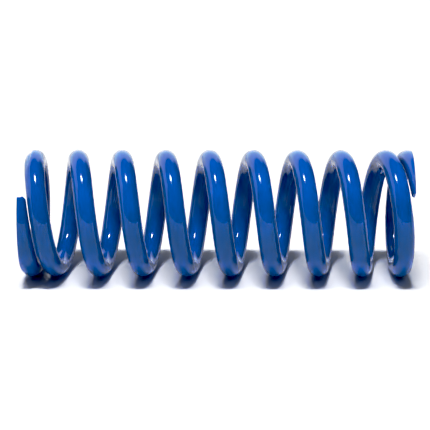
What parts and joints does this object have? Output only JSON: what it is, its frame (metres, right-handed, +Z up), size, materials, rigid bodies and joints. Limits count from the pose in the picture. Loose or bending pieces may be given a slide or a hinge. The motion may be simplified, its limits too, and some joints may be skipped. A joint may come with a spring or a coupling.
{
  "type": "coil spring",
  "caption": "Cylindrical compression coil spring of thick round wire for a coil-over shock absorber, with closed and ground ends and a gloss blue coating.",
  "frame": {"origin": "middle of the free length and width, on the surface that the spring lies on", "axes": "+X along the coil axis from the left end to the right, +Y to the back, +Z up"},
  "size_m": [0.282, 0.0926, 0.0925],
  "materials": {
    "blue_coating": "gloss powder coat over spring steel"
  },
  "bodies": {
    "left_end": {"left_end_coil": "blue_coating"},
    "quarter_01": {"active_quarter_01": "blue_coating"},
    "quarter_02": {"active_quarter_02": "blue_coating"},
    "quarter_03": {"active_quarter_03": "blue_coating"},
    "quarter_04": {"active_quarter_04": "blue_coating"},
    "quarter_05": {"active_quarter_05": "blue_coating"},
    "quarter_06": {"active_quarter_06": "blue_coating"},
    "quarter_07": {"active_quarter_07": "blue_coating"},
    "quarter_08": {"active_quarter_08": "blue_coating"},
    "quarter_09": {"active_quarter_09": "blue_coating"},
    "quarter_10": {"active_quarter_10": "blue_coating"},
    "quarter_11": {"active_quarter_11": "blue_coating"},
    "quarter_12": {"active_quarter_12": "blue_coating"},
    "quarter_13": {"active_quarter_13": "blue_coating"},
    "quarter_14": {"active_quarter_14": "blue_coating"},
    "quarter_15": {"active_quarter_15": "blue_coating"},
    "quarter_16": {"active_quarter_16": "blue_coating"},
    "quarter_17": {"active_quarter_17": "blue_coating"},
    "quarter_18": {"active_quarter_18": "blue_coating"},
    "quarter_19": {"active_quarter_19": "blue_coating"},
    "quarter_20": {"active_quarter_20": "blue_coating"},
    "quarter_21": {"active_quarter_21": "blue_coating"},
    "quarter_22": {"active_quarter_22": "blue_coating"},
    "quarter_23": {"active_quarter_23": "blue_coating"},
    "quarter_24": {"active_quarter_24": "blue_coating"},
    "quarter_25": {"active_quarter_25": "blue_coating"},
    "quarter_26": {"active_quarter_26": "blue_coating"},
    "quarter_27": {"active_quarter_27": "blue_coating"},
    "quarter_28": {"active_quarter_28": "blue_coating"},
    "right_end": {"right_end_coil": "blue_coating"}
  },
  "joints": [
    {"name": "compression", "type": "slide", "parent": "left_end", "child": "right_end", "axis": [-1, 0, 0], "range_m": [0, 0.1], "stiffness_N_per_m": 118000},
    {"name": "coil_step_01", "type": "slide", "parent": "left_end", "child": "quarter_01", "axis": [-1, 0, 0], "range_m": [0, 0.0036]},
    {"name": "coil_step_02", "type": "slide", "parent": "quarter_01", "child": "quarter_02", "axis": [-1, 0, 0], "range_m": [0, 0.0036]},
    {"name": "coil_step_03", "type": "slide", "parent": "quarter_02", "child": "quarter_03", "axis": [-1, 0, 0], "range_m": [0, 0.0036]},
    {"name": "coil_step_04", "type": "slide", "parent": "quarter_03", "child": "quarter_04", "axis": [-1, 0, 0], "range_m": [0, 0.0036]},
    {"name": "coil_step_05", "type": "slide", "parent": "quarter_04", "child": "quarter_05", "axis": [-1, 0, 0], "range_m": [0, 0.0036]},
    {"name": "coil_step_06", "type": "slide", "parent": "quarter_05", "child": "quarter_06", "axis": [-1, 0, 0], "range_m": [0, 0.0036]},
    {"name": "coil_step_07", "type": "slide", "parent": "quarter_06", "child": "quarter_07", "axis": [-1, 0, 0], "range_m": [0, 0.0036]},
    {"name": "coil_step_08", "type": "slide", "parent": "quarter_07", "child": "quarter_08", "axis": [-1, 0, 0], "range_m": [0, 0.0036]},
    {"name": "coil_step_09", "type": "slide", "parent": "quarter_08", "child": "quarter_09", "axis": [-1, 0, 0], "range_m": [0, 0.0036]},
    {"name": "coil_step_10", "type": "slide", "parent": "quarter_09", "child": "quarter_10", "axis": [-1, 0, 0], "range_m": [0, 0.0036]},
    {"name": "coil_step_11", "type": "slide", "parent": "quarter_10", "child": "quarter_11", "axis": [-1, 0, 0], "range_m": [0, 0.0036]},
    {"name": "coil_step_12", "type": "slide", "parent": "quarter_11", "child": "quarter_12", "axis": [-1, 0, 0], "range_m": [0, 0.0036]},
    {"name": "coil_step_13", "type": "slide", "parent": "quarter_12", "child": "quarter_13", "axis": [-1, 0, 0], "range_m": [0, 0.0036]},
    {"name": "coil_step_14", "type": "slide", "parent": "quarter_13", "child": "quarter_14", "axis": [-1, 0, 0], "range_m": [0, 0.0036]},
    {"name": "coil_step_28", "type": "slide", "parent": "right_end", "child": "quarter_28", "axis": [1, 0, 0], "range_m": [0, 0.0036]},
    {"name": "coil_step_27", "type": "slide", "parent": "quarter_28", "child": "quarter_27", "axis": [1, 0, 0], "range_m": [0, 0.0036]},
    {"name": "coil_step_26", "type": "slide", "parent": "quarter_27", "child": "quarter_26", "axis": [1, 0, 0], "range_m": [0, 0.0036]},
    {"name": "coil_step_25", "type": "slide", "parent": "quarter_26", "child": "quarter_25", "axis": [1, 0, 0], "range_m": [0, 0.0036]},
    {"name": "coil_step_24", "type": "slide", "parent": "quarter_25", "child": "quarter_24", "axis": [1, 0, 0], "range_m": [0, 0.0036]},
    {"name": "coil_step_23", "type": "slide", "parent": "quarter_24", "child": "quarter_23", "axis": [1, 0, 0], "range_m": [0, 0.0036]},
    {"name": "coil_step_22", "type": "slide", "parent": "quarter_23", "child": "quarter_22", "axis": [1, 0, 0], "range_m": [0, 0.0036]},
    {"name": "coil_step_21", "type": "slide", "parent": "quarter_22", "child": "quarter_21", "axis": [1, 0, 0], "range_m": [0, 0.0036]},
    {"name": "coil_step_20", "type": "slide", "parent": "quarter_21", "child": "quarter_20", "axis": [1, 0, 0], "range_m": [0, 0.0036]},
    {"name": "coil_step_19", "type": "slide", "parent": "quarter_20", "child": "quarter_19", "axis": [1, 0, 0], "range_m": [0, 0.0036]},
    {"name": "coil_step_18", "type": "slide", "parent": "quarter_19", "child": "quarter_18", "axis": [1, 0, 0], "range_m": [0, 0.0036]},
    {"name": "coil_step_17", "type": "slide", "parent": "quarter_18", "child": "quarter_17", "axis": [1, 0, 0], "range_m": [0, 0.0036]},
    {"name": "coil_step_16", "type": "slide", "parent": "quarter_17", "child": "quarter_16", "axis": [1, 0, 0], "range_m": [0, 0.0036]},
    {"name": "coil_step_15", "type": "slide", "parent": "quarter_16", "child": "quarter_15", "axis": [1, 0, 0], "range_m": [0, 0.0036]}
  ],
  "couplings": [
    {"joint": "coil_step_01", "follows": "compression", "ratio": 0.035714},
    {"joint": "coil_step_02", "follows": "compression", "ratio": 0.035714},
    {"joint": "coil_step_03", "follows": "compression", "ratio": 0.035714},
    {"joint": "coil_step_04", "follows": "compression", "ratio": 0.035714},
    {"joint": "coil_step_05", "follows": "compression", "ratio": 0.035714},
    {"joint": "coil_step_06", "follows": "compression", "ratio": 0.035714},
    {"joint": "coil_step_07", "follows": "compression", "ratio": 0.035714},
    {"joint": "coil_step_08", "follows": "compression", "ratio": 0.035714},
    {"joint": "coil_step_09", "follows": "compression", "ratio": 0.035714},
    {"joint": "coil_step_10", "follows": "compression", "ratio": 0.035714},
    {"joint": "coil_step_11", "follows": "compression", "ratio": 0.035714},
    {"joint": "coil_step_12", "follows": "compression", "ratio": 0.035714},
    {"joint": "coil_step_13", "follows": "compression", "ratio": 0.035714},
    {"joint": "coil_step_14", "follows": "compression", "ratio": 0.035714},
    {"joint": "coil_step_28", "follows": "compression", "ratio": 0.035714},
    {"joint": "coil_step_27", "follows": "compression", "ratio": 0.035714},
    {"joint": "coil_step_26", "follows": "compression", "ratio": 0.035714},
    {"joint": "coil_step_25", "follows": "compression", "ratio": 0.035714},
    {"joint": "coil_step_24", "follows": "compression", "ratio": 0.035714},
    {"joint": "coil_step_23", "follows": "compression", "ratio": 0.035714},
    {"joint": "coil_step_22", "follows": "compression", "ratio": 0.035714},
    {"joint": "coil_step_21", "follows": "compression", "ratio": 0.035714},
    {"joint": "coil_step_20", "follows": "compression", "ratio": 0.035714},
    {"joint": "coil_step_19", "follows": "compression", "ratio": 0.035714},
    {"joint": "coil_step_18", "follows": "compression", "ratio": 0.035714},
    {"joint": "coil_step_17", "follows": "compression", "ratio": 0.035714},
    {"joint": "coil_step_16", "follows": "compression", "ratio": 0.035714},
    {"joint": "coil_step_15", "follows": "compression", "ratio": 0.035714}
  ]
}
